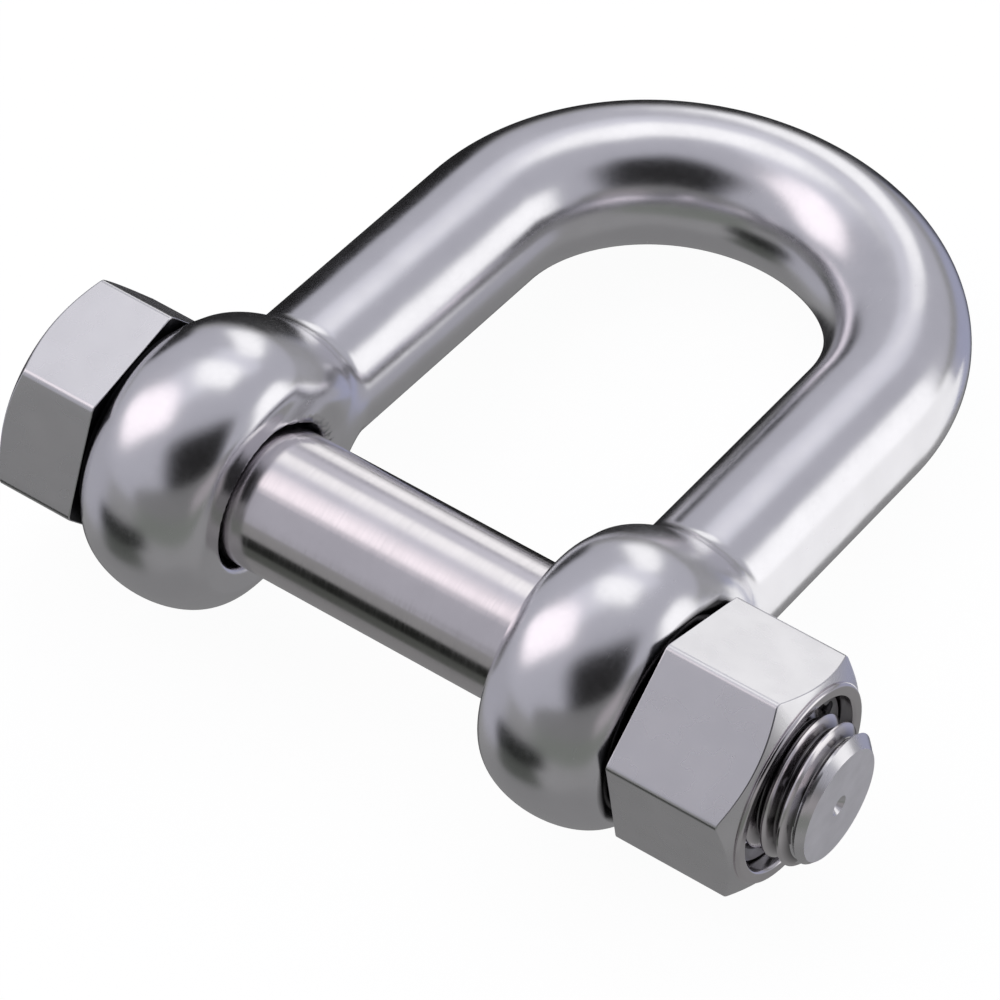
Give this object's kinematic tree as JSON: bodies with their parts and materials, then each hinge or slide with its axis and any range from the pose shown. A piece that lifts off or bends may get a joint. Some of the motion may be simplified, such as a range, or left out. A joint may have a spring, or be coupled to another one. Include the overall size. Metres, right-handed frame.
{
  "type": "dee shackle",
  "caption": "Dee shackle: a round-bar bow with an eye at each end, closed by a hexagon bolt with a thread and a self-locking nut.",
  "frame": {"origin": "the centre of the bolt head's end face, on the bolt's axis", "axes": "+X along the bolt from its head to its nut, +Y from the bolt to the crown of the bow, +Z square to the plane of the bow"},
  "size_m": [0.1225, 0.1218, 0.0396],
  "materials": {
    "polished_steel": "polished stainless steel, near mirror",
    "turned_steel": "machined stainless steel, satin",
    "spring_steel": "cold-rolled stainless spring steel"
  },
  "bodies": {
    "shackle_body": {"shackle_body": "polished_steel"},
    "hex_bolt": {"hex_bolt": "turned_steel"},
    "lock_ring": {"lock_ring": "spring_steel"},
    "lock_nut": {"lock_nut": "turned_steel"}
  },
  "joints": [
    {"name": "nut_spin", "type": "hinge", "parent": "lock_ring", "child": "lock_nut", "pos_m": [0, 0, 0], "axis": [1, 0, 0], "range_deg": [0, 3960]},
    {"name": "nut_travel", "type": "slide", "parent": "shackle_body", "child": "lock_ring", "axis": [1, 0, 0], "range_m": [0, 0.0275]},
    {"name": "pin_withdraw", "type": "slide", "parent": "shackle_body", "child": "hex_bolt", "axis": [-1, 0, 0], "range_m": [0, 0.115]}
  ],
  "couplings": [
    {"joint": "nut_travel", "follows": "nut_spin", "m_per_rad": 0.00039789}
  ]
}
